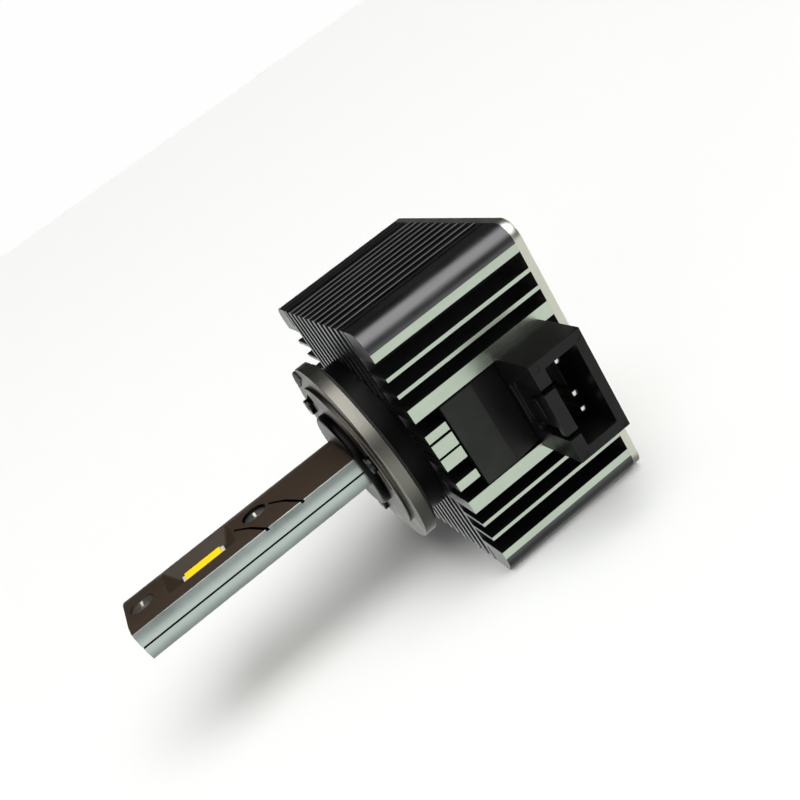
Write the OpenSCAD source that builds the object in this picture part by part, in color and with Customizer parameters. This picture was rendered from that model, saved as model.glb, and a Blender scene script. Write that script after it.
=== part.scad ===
// Plug-in LED headlight bulb with a finned square housing.
// Frame: the bulb axis is X, with the light end toward -X and the housing toward +X.
// The origin is the centre of the base flange's front face. The socket mouth faces -Y.

/* [Housing] */
// Side of the square housing
body_w = 42; // [41:0.5:44]
// Length of the housing along the bulb
body_l = 24; // [23.5:0.5:27]
// Corner radius of the housing
corner_r = 3; // [2:0.25:3.5]
// Thickness of the rear plate
plate_t = 1.2; // [1:0.1:2]
// Distance from fin to fin on the top
fin_pitch = 2.6; // [2.55:0.01:2.65]
// Thickness of a top fin
fin_t = 0.95; // [0.8:0.05:1.1]
// Thickness of a thin side fin
side_fin_t = 0.55; // [0.45:0.05:0.8]
// Distance from fin to fin on the sides
side_pitch = 2.7; // [2.6:0.05:2.8]

/* [Base] */
// Radius of the base flange
flange_r = 16; // [15.5:0.1:16.5]
// Thickness of the base flange
flange_t = 2; // [1.6:0.1:2.4]
// Thickness of the rubber seal behind the flange
seal_t = 0.6; // [0.5:0.1:1]
// Radius of the collar behind the flange
collar_r = 13.5; // [13:0.1:14]
// Length of the collar
collar_l = 3; // [2.6:0.1:4]
// Radius of the hub around the foot of the stem
hub_r = 8.3; // [8.1:0.1:8.8]

/* [Stem] */
// Length of the stem ahead of the flange
stem_l = 41.6; // [40:0.2:46]
// Width of the stem, over its round sides
stem_w = 13.2; // [12.6:0.1:13.4]
// Thickness of the stem, over its flat faces
stem_h = 6.2; // [6:0.1:6.8]
// Distance of the light centre ahead of the flange
light_x = 28.3; // [27:0.1:30]
// Thickness of the copper-core board inside the stem
board_t = 2; // [1.6:0.1:2.2]

/* [Socket] */
// Size of the socket rim along the bulb
rim_l = 8.4; // [8:0.1:8.6]
// Size of the socket rim across the bulb
rim_w = 15.6; // [15:0.1:16]
// Height of the socket above the housing
rim_h = 9.8; // [9:0.1:11]
// Depth of the socket mouth
mouth_d = 8.5; // [8.2:0.1:9]

/* [Fan] */
// Radius of the fan pocket in the housing
pocket_r = 13.2; // [13.1:0.1:13.5]
// Blades on the rotor
blade_n = 9; // [5:1:11]
// Clearance between the blade tips and the fan ring
tip_gap = 0.4; // [0.3:0.05:0.6]

/* [Hidden] */
$fn = 64;
eps = 0.01;
fit = 0.05;

// Places along the bulb axis
seal_x = flange_t;
collar_x = seal_x + seal_t;
body_x = collar_x + collar_l;
plate_x = body_x + body_l;
tip_x = -stem_l;

// Housing section: fins stand on a core block, and the outermost ones are webs as tall as the housing
half = body_w / 2;
fin_n = 12;
core_h = 18;
web_y = (fin_n - 1) / 2 * fin_pitch + fin_t / 2;
band_w = 5.6;
band_h = 4.2;
band_y = half - band_w;
band_z = half - band_h;
band_floor_z = half - 3;
rib_z = 8.05;
rib_t = 2.1;
side_fin_z = band_z - 2.5 - side_fin_t / 2;
wall_t = 3;
cavity_w = 23.6;
cavity_h = 14;
pocket_d = 9;
pocket_x = plate_x - pocket_d;
cavity_x = body_x + wall_t;
cavity_wall_y = cavity_w / 2;
corner_hole = half - 2.7;
corner_hole_d = 6;
// Rear plate's screws: head radius and length, shank radius and length
corner_screw = [1.65, 0.55, 0.75, 5];
corner_clear_r = 1;
corner_sink_r = 1.7;
// Ring slots of the rear grille, and the spokes that cross them
grille_rings = [5, 8, 11];
grille_half_w = 0.9;
spoke_w = 1.4;
// Centre and width of each short fin ahead of the socket
short_fins = [[4.05, 1.3], [1.95, 2.1], [-0.4, 1.9], [-4.25, 1.4]];
short_fin_l = 3.5;
window_z = [-5, 6];

// Stem
seam = 0.3;
board_w = 8;
board_end_x = cavity_x + 4;
chip_l = 7.6;
chip_w = 3.4;
chip_t = 0.5;
phosphor_l = 6.5;
phosphor_w = 3.2;
phosphor_t = 0.3;
pocket_top = [11.4, 7.2];
pocket_bottom = [8.8, 4.6];
stem_screws_x = [tip_x + 2.9, tip_x + 23.6];
screw_head_r = 2;
// The flat is level out to level_w, then falls toward its long edges
level_w = 3.4;
fall = 0.25;
// Starts of the two grooves beside the inner screw, and the level of their floor
groove_starts = [[stem_screws_x[1] - 3.8, -0.5], [stem_screws_x[1] + 2.6, -0.5]];
groove_w = 0.45;
groove_floor = 2.05;
tip_zone_l = 6.2;
tip_zone_d = 0.2;
groove_l = 8;
groove_turn = -55;
pocket_margin = [0.7, 0.8];
stem_screw_r = 0.8;
stem_bore_r = 0.85;
screw_head_t = 0.7;
screw_sink = 0.2;
cross_l = 2.2;
cross_w = 0.5;
strip_t = 0.5;

// Base
hub_l = 1.3;
hub_edge = 0.6;
step_r = 12.9;
step_t = 0.6;
sleeve_r = 7.7;
slot_r = 11.1;
slot_half_w = 0.75;
slot_arc = 22;
slot_turns = [-30, 90, 210];
key_turn = -25;
key_w = 6.4;
key_d = 2;
key_r = 5;
// The flange's screws sit at the near end of each arc slot
flange_screw_turns = [for (turn = slot_turns) turn - slot_arc / 2];
flange_screw_l = 2.2;
flange_screw_r = 0.65;
flange_head = [1.35, 0.7];
hex_key_r = 0.6;
hex_key_d = 0.4;
key_proud = 0.3;
seal_lip = 0.8;
seal_in_r = 13;
collar_screw_at = [9.5, 6.2];
// Head radius and length, shank radius and length
collar_screw = [1.6, 0.95, 0.95, 4.5];

// Socket
rim_x = body_x + 13.4;
socket_w = 13.6;
socket_x = body_x + short_fin_l + 0.25;
foot_top_y = -half + 1.6;
cover_top_y = -half - 0.2;
cover_flat_l = 5.2;
ramp_drop = 0.5;
mouth_x = rim_x + 1.9;
mouth_l = 5;
mouth_w = 12.3;
tongue_half_w = 3.35;
tongue_slot_w = 0.7;
tongue_slot_d = 2.5;
relief_top = 1.4;
relief_foot = 0.6;
relief_d = 0.7;
// Latch nub: its span down from the rim, and its span across
nub_down = [3.4, 5.2];
nub_z = [-1.2, 1.8];
rim_y = -half - rim_h;
pin_x = mouth_x + 3.3;
pin_tip_y = rim_y + 3.3;
pin_w = 0.9;
pins_z = [4.5, -0.8, -3.4];
lead_y = -half + 3.8;
lead_x = body_x + 7;

// Driver board, parallel to the socket side
driver_y = -cavity_wall_y + 0.8;
driver_t = 1;
driver_w = 13;
driver_face_y = driver_y + driver_t;
driver_x = cavity_x + 0.6;
driver_l = pocket_x - driver_x - 0.6;
// Place from the board's front edge and across, radius and height
coil = [driver_l - 3, 3, 2.8, 4.4];
coil_core_r = 2.2;
coil_gap = [1.2, 2];
capacitor = [driver_l - 2.6, -3.4, 2.2, 6.5];
chips_at = [[1.2, 5.2], [1.2, 2.6], [4.6, -5]];
driver_chip = [1.8, 0.9];
pad_half_w = 5;

// Fan
fan_x = pocket_x;
fan_l = 7.6;
ring_r = pocket_r - 0.2;
ring_t = 0.7;
blade_r = ring_r - ring_t - tip_gap;
base_t = 0.8;
strut_turns = [38, 142, 218, 322];
fan_screw_r = 10.15;
hub_out_r = 6.3;
hub_wall = 0.7;
cup_x = fan_x + 2;
cup_l = 5;
magnet_t = 0.7;
stator_r = 4.4;
tube_r = 1.9;
sleeve_out_r = 1.4;
shaft_r = 0.6;
shaft_gap = 0.02;
motor_base_r = 5.6;
fan_board_r = 5.2;
fan_board_t = 0.5;
strut_w = 1.6;
stator_gap = 0.2;
stator_l = 3.4;
tooth_gap = 1.2;
bearing_l = 4.5;
tube_l = 5.4;
fan_screw = [1, 0.5, 0.55, 2];
fan_eye_r = 1.2;
cup_end_t = 0.8;
blade_t = 0.6;
blade_pitch = 38;
blade_chord = 6.2;

// ---- helpers ----

// Extrudes a section drawn in Y and Z along the bulb, from x over length l
module along_x(x, l) {
    translate([x, 0, 0]) rotate([90, 0, 90]) linear_extrude(l) children();
}

// Cylinder on an axis parallel to the bulb, centred at y, z
module rod_x(x, l, r, y = 0, z = 0) {
    translate([x, y, z]) rotate([0, 90, 0]) cylinder(r = r, h = l);
}

// Box given by its lower and upper corners
module block(low, high) {
    translate(low) cube(high - low);
}

module rounded_square(w, r) {
    square([w - 2 * r, w], center = true);
    square([w, w - 2 * r], center = true);
    for (y = [-1, 1], z = [-1, 1])
        translate([y * (w / 2 - r), z * (w / 2 - r)]) circle(r);
}

// Section of the stem: a round bar with two flats that fall a little toward their edges
module stem_section(gap = 0) {
    top = stem_h / 2 + gap;
    low = top - (stem_w - level_w) * fall;
    intersection() {
        circle(stem_w / 2 + gap);
        polygon([[-stem_w, low], [-level_w, top], [level_w, top], [stem_w, low],
            [stem_w, -low], [level_w, -top], [-level_w, -top], [-stem_w, -low]]);
    }
}

// Countersunk screw that points toward +X, with its head's face at x
module screw_x(x, head_r, head_l, shank_r, l, y = 0, z = 0) {
    translate([x, y, z]) rotate([0, 90, 0]) difference() {
        union() {
            cylinder(r = head_r, h = head_l);
            cylinder(r = shank_r, h = l);
        }
        for (turn = [0, 90])
            rotate(turn) cube([head_r * 1.2, head_r * 0.28, head_l], center = true);
    }
}

// ---- housing ----

// Half of the fins on one side of the housing, from the socket rib outward
module side_gaps(sign) {
    for (s = [-1, 1]) mirror([0, s > 0 ? 0 : 1]) {
        edges = [band_z, side_fin_z + side_fin_t / 2, side_fin_z - side_fin_t / 2,
            side_fin_z - side_pitch + side_fin_t / 2, side_fin_z - side_pitch - side_fin_t / 2,
            rib_z + rib_t / 2];
        for (i = [0:2:4])
            translate([sign > 0 ? web_y : -half - 1, edges[i + 1]])
                square([half + 1 - web_y, edges[i] - edges[i + 1]]);
    }
}

module housing_section() {
    difference() {
        rounded_square(body_w, corner_r);
        for (s = [-1, 1]) mirror([0, s > 0 ? 0 : 1]) {
            for (i = [0:fin_n - 2])
                translate([(i - (fin_n - 1) / 2) * fin_pitch + fin_t / 2, core_h / 2])
                    square([fin_pitch - fin_t, half]);
            for (t = [-1, 1])
                translate([t * (web_y + band_y) / 2, band_floor_z + half / 2])
                    square([band_y - web_y, half], center = true);
        }
        side_gaps(-1);
        side_gaps(1);
        // Bay for the socket on one side, and more fins in its place on the other
        translate([-half - 1, -rib_z + rib_t / 2])
            square([half + 1 - web_y, 2 * rib_z - rib_t]);
        for (i = [-2:2])
            translate([web_y, i * side_pitch - (side_pitch - side_fin_t) / 2])
                square([half, side_pitch - side_fin_t]);
    }
}

module heatsink_body() {
    color("#2c2b2d") difference() {
        union() {
            along_x(body_x, body_l) housing_section();
            for (f = short_fins)
                block([body_x, -half, f[0] - f[1] / 2],
                    [body_x + short_fin_l, -web_y + eps, f[0] + f[1] / 2]);
        }
        block([cavity_x, -cavity_wall_y, -cavity_h / 2], [pocket_x + eps, cavity_wall_y, cavity_h / 2]);
        rod_x(pocket_x, pocket_d + 1, pocket_r);
        block([body_x - 1, -board_w / 2 - fit, -board_t / 2 - fit],
            [cavity_x + 1, board_w / 2 + fit, board_t / 2 + fit]);
        // Window for the socket's leads
        block([lead_x - 1, -web_y - 1, window_z[0]], [lead_x + 1, -cavity_wall_y + 1, window_z[1]]);
        for (y = [-1, 1], z = [-1, 1])
            rod_x(plate_x - corner_hole_d, corner_hole_d + 1, corner_screw[2] + fit,
                y * corner_hole, z * corner_hole);
        at_collar_screws() rod_x(body_x - 1, wall_t, collar_screw[2] + fit);
        at_fan_screws() rod_x(pocket_x - wall_t, wall_t + 1, fan_screw[2] + fit);
    }
}

module rear_plate() {
    color("#a9a79c") difference() {
        along_x(plate_x, plate_t) rounded_square(body_w, corner_r);
        // Ring slots of the grille, held by four spokes
        difference() {
            for (r = grille_rings) difference() {
                rod_x(plate_x - 1, plate_t + 2, r + grille_half_w);
                rod_x(plate_x - 2, plate_t + 4, r - grille_half_w);
            }
            for (turn = [45, -45]) rotate([turn, 0, 0])
                block([plate_x - 1, -spoke_w / 2, -half], [plate_x + plate_t + 1, spoke_w / 2, half]);
        }
        for (y = [-1, 1], z = [-1, 1]) {
            rod_x(plate_x - 1, plate_t + 2, corner_clear_r, y * corner_hole, z * corner_hole);
            rod_x(plate_x + plate_t - corner_screw[1] - fit, 1, corner_sink_r,
                y * corner_hole, z * corner_hole);
        }
    }
}

module rear_plate_screws() {
    color("#1e1e20") for (y = [-1, 1], z = [-1, 1])
        translate([plate_x + plate_t, y * corner_hole, z * corner_hole]) rotate([0, 0, 180])
            screw_x(0, corner_screw[0], corner_screw[1], corner_screw[2], corner_screw[3]);
}

// ---- base ----

module at_collar_screws() {
    for (y = [-1, 1], z = [-1, 1])
        translate([0, y * collar_screw_at[0], z * collar_screw_at[1]]) children();
}

module mounting_collar() {
    color("#343335") difference() {
        rod_x(collar_x, collar_l, collar_r);
        along_x(collar_x - 1, collar_l + 2) stem_section(fit);
        at_collar_screws() {
            rod_x(collar_x - 1, collar_l + 2, collar_screw[2] + 3 * fit);
            rod_x(collar_x - 1, collar_screw[1] + fit + 1, collar_screw[0] + 2 * fit);
        }
        for (turn = flange_screw_turns) rotate([turn, 0, 0])
            rod_x(collar_x - 1, flange_screw_l + 1, flange_screw_r + fit, 0, slot_r);
    }
}

module collar_screws() {
    color("#8c8c88") at_collar_screws()
        screw_x(collar_x, collar_screw[0], collar_screw[1], collar_screw[2], collar_screw[3]);
}

module seal_ring() {
    color("#121212") difference() {
        rod_x(seal_x, seal_t, flange_r - seal_lip);
        rod_x(seal_x - 1, seal_t + 2, seal_in_r);
    }
}

// Arc-shaped slot through the flange that lets the lamp be clocked before its screws are tightened
module arc_slot(x, l) {
    for (a = [-slot_arc / 2, slot_arc / 2]) rotate([a, 0, 0]) rod_x(x, l, slot_half_w, 0, slot_r);
    translate([x, 0, 0]) rotate([90, 0, 90]) rotate(90 - slot_arc / 2) rotate_extrude(angle = slot_arc)
        translate([slot_r - slot_half_w, 0]) square([2 * slot_half_w, l]);
}

module base_flange() {
    color("#4a443e") difference() {
        union() {
            rod_x(0, flange_t, flange_r);
            rod_x(-step_t, step_t, step_r);
        }
        rod_x(-step_t - 1, flange_t + step_t + 2, sleeve_r + fit);
        for (turn = slot_turns) rotate([turn, 0, 0]) arc_slot(-step_t - 1, flange_t + step_t + 2);
        rotate([key_turn, 0, 0])
            block([-1, -key_w / 2, flange_r - key_d], [flange_t + 1, key_w / 2, flange_r + 1]);
    }
}

module flange_screws() {
    color("#161616") for (turn = flange_screw_turns) rotate([turn, 0, 0]) {
        translate([0, 0, slot_r]) rotate([0, 90, 0]) difference() {
            translate([0, 0, -step_t - flange_head[1]]) cylinder(r = flange_head[0], h = flange_head[1]);
            translate([0, 0, -step_t - flange_head[1] - eps])
                cylinder(r = hex_key_r, h = hex_key_d + eps, $fn = 6);
        }
        rod_x(-step_t - eps, step_t + collar_x + flange_screw_l - 4 * fit, flange_screw_r, 0, slot_r);
    }
}

module locating_key() {
    color("#0e0e0f") rotate([key_turn, 0, 0]) intersection() {
        block([-key_proud, -key_w / 2 + fit, flange_r - key_d], [flange_t, key_w / 2 - fit, flange_r + 1]);
        rod_x(-1, flange_t + 2, key_r, 0, flange_r - key_r);
    }
}

module stem_hub() {
    color("#3a3733") difference() {
        union() {
            translate([-step_t, 0, 0]) rotate([0, -90, 0]) rotate_extrude() {
                square([hub_r, hub_l - hub_edge]);
                square([hub_r - hub_edge, hub_l]);
                translate([hub_r - hub_edge, hub_l - hub_edge]) circle(hub_edge);
            }
            rod_x(-step_t - eps, collar_x + step_t, sleeve_r);
        }
        along_x(-10, 20) stem_section(fit);
    }
}

// ---- stem ----

// The two faces are alike: the lower one is the upper one after half a turn about the bulb
module on_face(side) {
    rotate([side > 0 ? 0 : 180, 0, 0]) children();
}

module light_pocket() {
    translate([-light_x, 0, 0]) hull() {
        translate([0, 0, stem_h / 2 + 0.5])
            cube([pocket_top[0] + pocket_margin[0], pocket_top[1] + pocket_margin[1], 1], center = true);
        translate([0, 0, board_t / 2 - eps])
            cube([pocket_bottom[0], pocket_bottom[1], eps], center = true);
    }
}

// Diagonal grooves on both sides of the inner screw, which run out over one long edge
module face_grooves() {
    for (start = groove_starts)
        translate([start[0], start[1], groove_floor]) rotate([0, 0, groove_turn])
            translate([0, -groove_w / 2, 0]) cube([groove_l, groove_w, stem_h]);
}

module stem_half(side) {
    on_face(side) difference() {
        along_x(tip_x, stem_l + body_x) intersection() {
            stem_section();
            translate([-stem_w, seam / 2]) square([2 * stem_w, stem_h]);
        }
        block([tip_x + 0.8, -board_w / 2 - fit, -1], [body_x + 1, board_w / 2 + fit, board_t / 2]);
        light_pocket();
        face_grooves();
        block([tip_x - 1, -stem_w, stem_h / 2 - tip_zone_d], [tip_x + tip_zone_l, stem_w, stem_h]);
        for (x = stem_screws_x) {
            translate([x, 0, 0]) cylinder(r = stem_bore_r, h = stem_h);
            translate([x, 0, stem_h / 2 - screw_head_t - screw_sink])
                cylinder(r = screw_head_r + 2 * fit, h = stem_h);
        }
    }
}

module stem_half_upper() {
    color("#4c4641") stem_half(1);
}

module stem_half_lower() {
    color("#4c4641") stem_half(-1);
}

// Each screw has a head on the upper face and a nut head on the lower one
module stem_screws() {
    color("#c9ccc9") for (x = stem_screws_x) translate([x, 0, 0]) difference() {
        union() {
            cylinder(r = stem_screw_r, h = stem_h - 2 * screw_head_t, center = true);
            for (s = [-1, 1]) translate([0, 0, s * (stem_h / 2 - screw_sink - screw_head_t / 2)])
                cylinder(r = screw_head_r, h = screw_head_t, center = true);
        }
        for (s = [-1, 1], turn = [0, 90]) translate([0, 0, s * (stem_h / 2 - screw_sink)]) rotate(turn)
            cube([cross_l, cross_w, cross_w], center = true);
    }
}

module led_board() {
    color("#b5713d") difference() {
        block([tip_x + 0.8, -board_w / 2, -board_t / 2], [board_end_x, board_w / 2, board_t / 2]);
        for (x = stem_screws_x) translate([x, 0, 0]) cylinder(r = stem_bore_r, h = stem_h, center = true);
    }
}

module led_chip(side) {
    on_face(side) color("#d9cfc4") translate([-light_x, 0, board_t / 2 + chip_t / 2])
        cube([chip_l, chip_w, chip_t], center = true);
}

module led_phosphor(side) {
    on_face(side) color("#ffe51f") translate([-light_x, 0, board_t / 2 + chip_t + phosphor_t / 2])
        cube([phosphor_l, phosphor_w, phosphor_t], center = true);
}

module led_chip_upper() {
    led_chip(1);
}

module led_chip_lower() {
    led_chip(-1);
}

module led_phosphor_upper() {
    led_phosphor(1);
}

module led_phosphor_lower() {
    led_phosphor(-1);
}

// ---- driver ----

module link_strips() {
    color("#c98a4b") for (z = [-1.1 * strip_t, 1.1 * strip_t])
        block([board_end_x - 1.6, driver_face_y, z - strip_t / 2],
            [board_end_x - 0.8, -board_w / 2, z + strip_t / 2]);
}

module driver_board() {
    color("#1f5a38") difference() {
        block([driver_x, driver_y, -driver_w / 2], [driver_x + driver_l, driver_face_y, driver_w / 2]);
        for (z = pins_z) translate([lead_x, driver_y, z]) cube([pin_w + 2 * fit, 4, pin_w + 2 * fit], center = true);
    }
}

// Round part that stands on the driver board: [place along it, place across, radius, height]
module on_driver(part) {
    translate([driver_x + part[0], driver_face_y, part[1]]) rotate([-90, 0, 0])
        cylinder(r = part[2], h = part[3]);
}

module driver_inductor() {
    color("#4b4b4e") difference() {
        on_driver(coil);
        // Waist of the drum core, where its wire is wound
        translate([0, coil_gap[0], 0]) difference() {
            on_driver([coil[0], coil[1], coil[2] + 1, coil_gap[1]]);
            translate([0, -1, 0]) on_driver([coil[0], coil[1], coil_core_r, coil[3]]);
        }
    }
}

module driver_capacitor() {
    color("#2b3a66") on_driver(capacitor);
}

module driver_chips() {
    w = driver_chip[0] / 2;
    color("#1b1b1d") for (p = chips_at)
        block([driver_x + p[0] - w, driver_face_y, p[1] - w],
            [driver_x + p[0] + w, driver_face_y + driver_chip[1], p[1] + w]);
}

module thermal_pad() {
    color("#8fa3b5") block([lead_x + 1.6, -cavity_wall_y, -pad_half_w],
        [driver_x + driver_l - 0.4, driver_y, pad_half_w]);
}

// ---- socket ----

// Flat cover in the front of the bay, with a ramp down to the socket
module connector_base() {
    color("#2f2f2e") translate([0, 0, -socket_w / 2]) linear_extrude(socket_w)
        polygon([[socket_x, foot_top_y], [socket_x, cover_top_y], [socket_x + cover_flat_l, cover_top_y],
            [rim_x, -half + ramp_drop], [rim_x, foot_top_y]]);
}

// Space for one right-angled pin, grown by gap on every side
module pin_shape(z, gap = 0) {
    w = pin_w / 2 + gap;
    block([pin_x - w, pin_tip_y, z - w], [pin_x + w, lead_y + w, z + w]);
    block([lead_x - w, lead_y - w, z - w], [pin_x + w, lead_y + w, z + w]);
    block([lead_x - w, lead_y - w, z - w], [lead_x + w, driver_face_y + 1, z + w]);
}

module connector_housing() {
    color("#2b2b29") difference() {
        union() {
            block([rim_x, rim_y, -rim_w / 2], [rim_x + rim_l, -half, rim_w / 2]);
            block([socket_x, foot_top_y, -socket_w / 2], [rim_x + rim_l, -web_y, socket_w / 2]);
            block([rim_x, -half - eps, -socket_w / 2], [rim_x + rim_l, foot_top_y + eps, socket_w / 2]);
        }
        block([mouth_x, rim_y - 1, -mouth_w / 2], [mouth_x + mouth_l, rim_y + mouth_d, mouth_w / 2]);
        // Latch tongue in the front wall: a slot on each side and a relief in front of it
        for (s = [-1, 1])
            translate([rim_x - 1, rim_y - 1, s * (tongue_half_w + tongue_slot_w / 2) - tongue_slot_w / 2])
                cube([tongue_slot_d + 1, rim_h - relief_top, tongue_slot_w]);
        difference() {
            block([rim_x - 1, rim_y + relief_top, -tongue_half_w],
                [rim_x + relief_d, -half - relief_foot, tongue_half_w]);
            block([rim_x - 0.1, rim_y + nub_down[0], nub_z[0]], [rim_x + 1, rim_y + nub_down[1], nub_z[1]]);
        }
        for (z = pins_z) pin_shape(z, fit);
    }
}

module contact_pins() {
    color("#d8d6cf") for (z = pins_z) pin_shape(z);
}

// ---- fan ----

// Two opposite struts carry the screws
module at_fan_screws() {
    for (i = [0, 2]) rotate([strut_turns[i], 0, 0]) translate([0, 0, fan_screw_r]) children();
}

module fan_frame() {
    color("#1c1c1d") difference() {
        union() {
            difference() {
                rod_x(fan_x, fan_l, ring_r);
                rod_x(fan_x - 1, fan_l + 2, ring_r - ring_t);
            }
            rod_x(fan_x, base_t, motor_base_r);
            rod_x(fan_x, tube_l, tube_r);
            for (turn = strut_turns) rotate([turn, 0, 0])
                block([fan_x, -strut_w / 2, 4], [fan_x + base_t, strut_w / 2, ring_r - ring_t / 2]);
            at_fan_screws() rod_x(fan_x, base_t, fan_eye_r);
        }
        rod_x(fan_x + base_t, fan_l, sleeve_out_r);
        at_fan_screws() rod_x(fan_x - 1, 4, fan_screw[2] + fit);
    }
}

module fan_board() {
    color("#1f5a38") difference() {
        rod_x(fan_x + base_t, fan_board_t, fan_board_r);
        rod_x(fan_x, 2, tube_r);
    }
}

// Four-pole wound stator
module fan_stator() {
    color("#b5713d") difference() {
        rod_x(fan_x + base_t + fan_board_t + stator_gap, stator_l, stator_r);
        rod_x(fan_x, fan_l, tube_r);
        for (turn = [45:90:315]) rotate([turn, 0, 0])
            block([fan_x, -tooth_gap / 2, tube_r + 0.8], [fan_x + fan_l, tooth_gap / 2, stator_r + 1]);
    }
}

module fan_bearing() {
    color("#b08d4a") difference() {
        rod_x(fan_x + base_t, bearing_l, sleeve_out_r);
        rod_x(fan_x + base_t + 0.4, bearing_l, shaft_r + shaft_gap);
    }
}

module fan_screws() {
    color("#8c8c88") at_fan_screws() {
        rod_x(fan_x + base_t, fan_screw[1], fan_screw[0]);
        rod_x(pocket_x - fan_screw[3], base_t + fan_screw[3] + eps, fan_screw[2]);
    }
}

module fan_rotor() {
    color("#242426") {
        difference() {
            rod_x(cup_x, cup_l, hub_out_r);
            rod_x(cup_x - 1, cup_l + 1 - cup_end_t, hub_out_r - hub_wall);
            rod_x(cup_x, cup_l - 0.3, shaft_r);
        }
        intersection() {
            for (i = [0:blade_n - 1]) rotate([i * 360 / blade_n, 0, 0])
                translate([cup_x + cup_l / 2, 0, hub_out_r - 0.3]) rotate([0, 0, blade_pitch])
                    translate([-blade_chord / 2, -blade_t / 2, 0]) cube([blade_chord, blade_t, blade_r]);
            difference() {
                rod_x(cup_x, cup_l, blade_r);
                rod_x(cup_x - 1, cup_l + 2, hub_out_r - 0.2);
            }
        }
    }
}

module fan_magnet() {
    color("#5c5a58") difference() {
        rod_x(cup_x + 0.2, cup_l - 1.2, hub_out_r - hub_wall);
        rod_x(cup_x - 1, cup_l + 2, hub_out_r - hub_wall - magnet_t);
    }
}

module fan_shaft() {
    color("#d0d0d0") rod_x(fan_x + base_t + 0.5, cup_x + cup_l - 0.3 - fan_x - base_t - 0.5, shaft_r);
}

heatsink_body();
rear_plate();
rear_plate_screws();
mounting_collar();
collar_screws();
seal_ring();
base_flange();
flange_screws();
locating_key();
stem_hub();
stem_half_upper();
stem_half_lower();
stem_screws();
led_board();
led_chip_upper();
led_chip_lower();
led_phosphor_upper();
led_phosphor_lower();
link_strips();
driver_board();
driver_inductor();
driver_capacitor();
driver_chips();
thermal_pad();
connector_base();
connector_housing();
contact_pins();
fan_frame();
fan_board();
fan_stator();
fan_bearing();
fan_screws();
fan_rotor();
fan_magnet();
fan_shaft();
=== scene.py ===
# %% [markdown]
# # A plug-in LED headlight bulb, finished in Blender
# The bulb is a retrofit light: a slim metal stem carries a yellow light chip on each face, a round
# base ring holds it in the lamp, and a square finned housing with a socket and a fan cools it.
# The CAD model gives every size. This file keeps its frame and adds what a camera would see:
# rounded edges, real screw heads, cooling fins, blades and the finish of each metal and plastic.

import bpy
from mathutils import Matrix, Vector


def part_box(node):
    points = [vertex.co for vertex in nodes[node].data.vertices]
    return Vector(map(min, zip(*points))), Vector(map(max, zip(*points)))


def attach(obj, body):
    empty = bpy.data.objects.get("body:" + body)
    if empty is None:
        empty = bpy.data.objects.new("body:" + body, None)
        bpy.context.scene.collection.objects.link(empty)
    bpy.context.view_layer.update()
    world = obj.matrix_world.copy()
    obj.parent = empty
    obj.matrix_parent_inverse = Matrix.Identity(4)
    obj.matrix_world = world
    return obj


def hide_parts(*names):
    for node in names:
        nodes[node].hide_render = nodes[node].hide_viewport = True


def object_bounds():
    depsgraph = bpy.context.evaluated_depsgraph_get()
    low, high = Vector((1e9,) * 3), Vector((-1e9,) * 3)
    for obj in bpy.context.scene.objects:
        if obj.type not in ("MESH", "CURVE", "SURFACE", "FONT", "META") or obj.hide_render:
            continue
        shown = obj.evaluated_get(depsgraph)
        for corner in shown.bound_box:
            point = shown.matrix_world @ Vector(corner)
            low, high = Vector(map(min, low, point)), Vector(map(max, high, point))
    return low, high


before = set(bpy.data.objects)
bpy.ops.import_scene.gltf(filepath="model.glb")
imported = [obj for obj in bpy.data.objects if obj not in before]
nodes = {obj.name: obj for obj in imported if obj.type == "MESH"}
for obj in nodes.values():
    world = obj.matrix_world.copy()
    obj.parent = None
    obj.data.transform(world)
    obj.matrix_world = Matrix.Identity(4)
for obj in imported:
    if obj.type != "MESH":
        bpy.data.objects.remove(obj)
cad_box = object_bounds()
print("CAD box in mm:", [[round(1000 * v, 2) for v in corner] for corner in cad_box])

# %% Tools used all the way through
import math

import bmesh
import bpy
from mathutils import Matrix, Vector

MM = 0.001
scene = bpy.context.scene


def add(tree, kind, values=None, **settings):
    """Adds a node. settings are its own options, values its inputs: plain values, or sockets to link."""
    made = tree.nodes.new(kind)
    for name, value in settings.items():
        setattr(made, name, value)
    for key, value in (values or {}).items():
        if isinstance(value, bpy.types.NodeSocket):
            tree.links.new(value, made.inputs[key])
        else:
            made.inputs[key].default_value = value
    return made


def linear(code):
    """An sRGB hex colour as the linear colour that Blender's sockets take."""
    parts = [int(code[i:i + 2], 16) / 255 for i in (1, 3, 5)]
    return [p / 12.92 if p <= 0.04045 else ((p + 0.055) / 1.055) ** 2.4 for p in parts] + [1]


# %% [markdown]
# ## Camera, floor and light
# The bulb is seen from its socket side, a little from above, with the light end toward the lower
# left. The camera could be aimed by eye. Here its place and its three directions are written out,
# because they were worked out from the known sizes of the housing, and any error of aim shows at
# once in an object with so many straight edges.

# %% Camera
CAMERA_PLACE = (-0.0164, -0.1272, 0.0523)
CAMERA_RIGHT = Vector((0.7691, -0.3764, -0.5165))
CAMERA_DOWN = Vector((-0.6242, -0.2688, -0.7336))
CAMERA_AHEAD = Vector((0.1373, 0.8866, -0.4417))

camera_data = bpy.data.cameras.new("camera")
camera_data.sensor_width = 36
camera_data.lens = 40.66
camera_data.shift_x = -0.0162
camera_data.shift_y = 0.1176
camera_data.clip_start = 0.005
camera_data.clip_end = 50
camera = bpy.data.objects.new("camera", camera_data)
turn = Matrix((CAMERA_RIGHT, -CAMERA_DOWN, -CAMERA_AHEAD)).transposed()
camera.matrix_world = Matrix.Translation(CAMERA_PLACE) @ turn.to_4x4()
scene.collection.objects.link(camera)
scene.camera = camera
scene.view_settings.view_transform = "Standard"
print("Camera stands", round((Vector(CAMERA_PLACE) - Vector(cad_box[0])).length, 3), "m off")

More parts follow.
